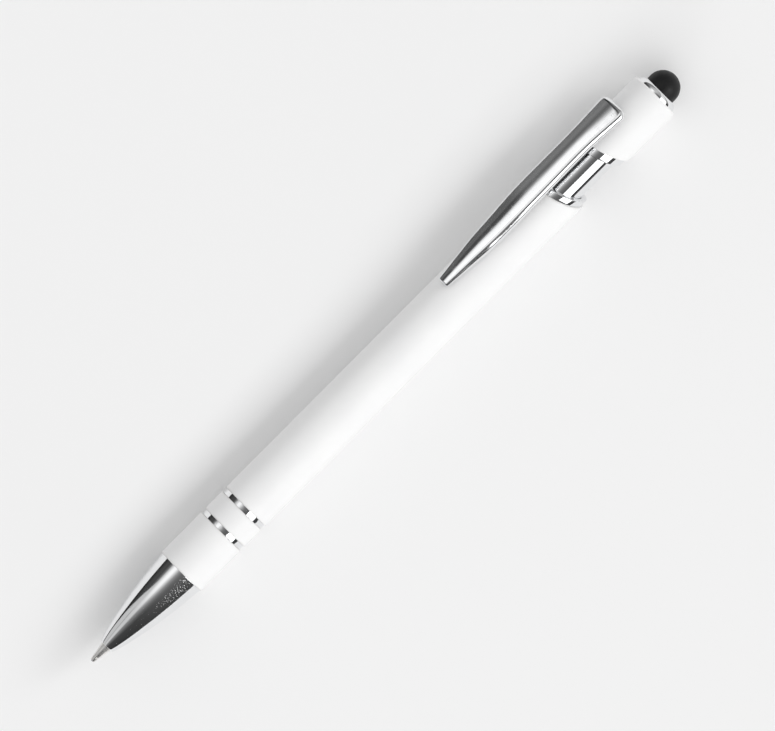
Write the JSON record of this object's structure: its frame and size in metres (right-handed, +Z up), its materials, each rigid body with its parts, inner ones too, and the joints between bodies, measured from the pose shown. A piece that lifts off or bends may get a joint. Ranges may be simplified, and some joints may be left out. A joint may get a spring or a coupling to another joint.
{
  "type": "stylus pen",
  "caption": "Slim retractable ballpoint pen with a white soft-touch barrel, chrome nose cone, neck and pocket clip, and a rubber stylus dome on its push cap.",
  "frame": {"origin": "on the pen's axis at the front edge of the barrel", "axes": "+X along the pen's axis towards the stylus, +Z up as the pen lies on a table with its clip up and to the side"},
  "size_m": [0.143, 0.011, 0.012],
  "materials": {
    "soft_touch_white": "matte soft-touch coat",
    "chrome": "polished",
    "stylus_rubber": "matte",
    "point_metal": "turned",
    "ball_metal": "ground",
    "spring_steel": "drawn wire",
    "refill_plastic": "satin",
    "bush_brass": "turned",
    "cam_plastic": "moulded"
  },
  "bodies": {
    "body": {"barrel": "soft_touch_white", "trim_ring_front": "chrome", "trim_ring_rear": "chrome", "front_bush": "bush_brass", "nose_cone": "chrome", "barrel_bush": "chrome", "cam_guide": "cam_plastic", "return_spring": "spring_steel"},
    "plunger": {"plunger_tube": "chrome", "push_cam": "cam_plastic", "cap_shell": "soft_touch_white", "cap_liner": "cam_plastic", "crown_ring": "chrome", "stylus_tip": "stylus_rubber", "stylus_post": "cam_plastic"},
    "clip": {"clip": "chrome"},
    "refill": {"refill_tube": "refill_plastic", "refill_point": "point_metal", "refill_adapter": "refill_plastic", "refill_plug": "refill_plastic"},
    "rotor": {"rotor": "cam_plastic"},
    "writing_ball": {"refill_ball": "ball_metal"}
  },
  "joints": [
    {"name": "cap_push", "type": "slide", "parent": "body", "child": "plunger", "axis": [1, 0, 0], "range_m": [-0.0016, 0.005]},
    {"name": "refill_feed", "type": "slide", "parent": "body", "child": "refill", "axis": [1, 0, 0], "range_m": [-0.0016, 0.005], "deforming": ["return_spring"]},
    {"name": "clip_flex", "type": "hinge", "parent": "plunger", "child": "clip", "pos_m": [0.10277, 0.00247, 0.00352], "axis": [0, 0.8192, -0.5736], "range_deg": [0, 3.5], "stiffness_Nm_per_rad": 2},
    {"name": "rotor_turn", "type": "hinge", "parent": "refill", "child": "rotor", "pos_m": [0.066, 0, 0], "axis": [1, 0, 0], "continuous": true},
    {"name": "ball_roll", "type": "hinge", "parent": "refill", "child": "writing_ball", "pos_m": [-0.0216, 0, 0], "axis": [0, 1, 0], "continuous": true}
  ],
  "couplings": [
    {"joint": "refill_feed", "follows": "cap_push", "ratio": 1}
  ]
}
